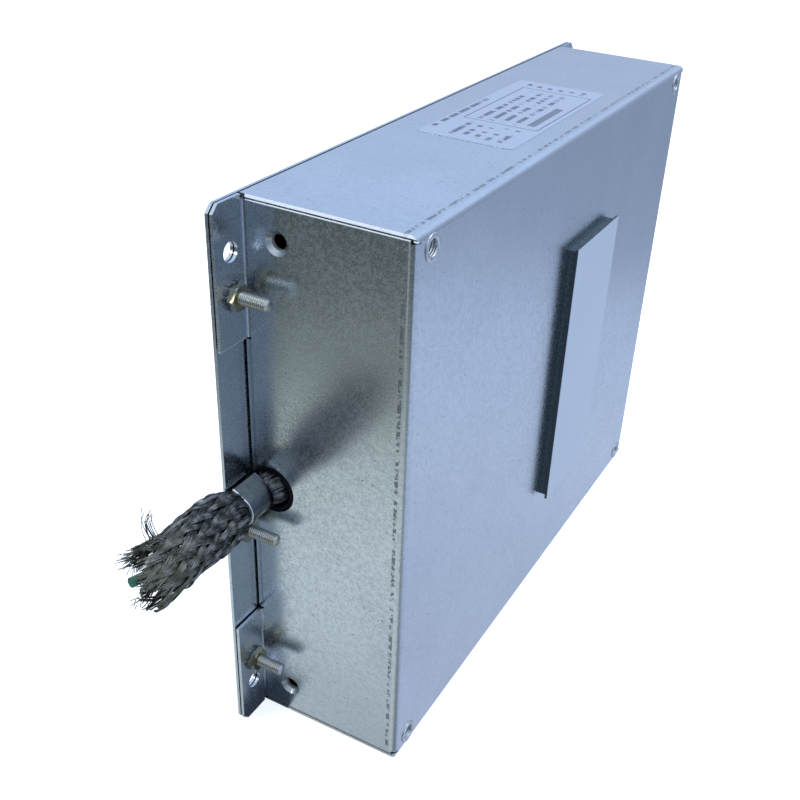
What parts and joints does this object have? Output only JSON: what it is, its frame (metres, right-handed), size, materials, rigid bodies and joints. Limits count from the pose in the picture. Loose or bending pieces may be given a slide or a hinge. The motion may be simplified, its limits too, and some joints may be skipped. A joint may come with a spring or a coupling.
{
  "type": "emi line filter",
  "caption": "Footprint line filter for a motor drive: folded steel case on a base plate, screened cable stub in a clip, and a terminal block.",
  "frame": {"origin": "middle of the base plate's back, which is the mounting face", "axes": "+X out of the mounting face towards the front panel, +Y along the case from the cable end to the terminal end, +Z across the case"},
  "size_m": [0.0585, 0.2938, 0.1851],
  "materials": {
    "zinc_sheet": "satin zinc plate",
    "yellow_zinc": "yellow chromate",
    "insert_steel": "satin zinc plate",
    "label_foil": "satin foil",
    "card_face": "satin",
    "pad_foam": "matte foam",
    "black_rubber": "satin",
    "clip_steel": "bright",
    "tinned_braid": "tinned wire",
    "black_insulation": "satin",
    "green_insulation": "satin",
    "block_plastic": "moulded",
    "screw_zinc": "zinc plate",
    "cage_brass": "nickel plate",
    "board_laminate": "solder mask",
    "clear_film": "smooth film",
    "core_coating": "epoxy coat",
    "copper_wire": "enamel",
    "capacitor_case": "moulded",
    "blue_coating": "dipped",
    "resistor_coating": "lacquer"
  },
  "bodies": {
    "root": {"cover": "zinc_sheet", "base_plate": "zinc_sheet", "corner_studs": "yellow_zinc", "corner_nuts": "yellow_zinc", "corner_washers": "yellow_zinc", "earth_studs": "yellow_zinc", "earth_nuts": "yellow_zinc", "earth_washers": "yellow_zinc", "press_nuts": "insert_steel", "type_label": "label_foil", "slot_card": "card_face", "card_pad": "pad_foam", "cable_bushing": "black_rubber", "shield_clip": "clip_steel", "braid_sleeve": "tinned_braid", "phase_cores": "black_insulation", "earth_core": "green_insulation", "terminal_block": "block_plastic", "terminal_screws": "screw_zinc", "terminal_cages": "cage_brass", "circuit_board": "board_laminate", "board_pillars": "screw_zinc", "board_screws": "screw_zinc", "insulating_sheet": "clear_film", "choke_core": "core_coating", "choke_base": "block_plastic", "winding_u": "copper_wire", "winding_v": "copper_wire", "winding_w": "copper_wire", "line_capacitors": "capacitor_case", "load_capacitors": "capacitor_case", "earth_capacitors": "blue_coating", "bleed_resistors": "resistor_coating"}
  },
  "joints": []
}
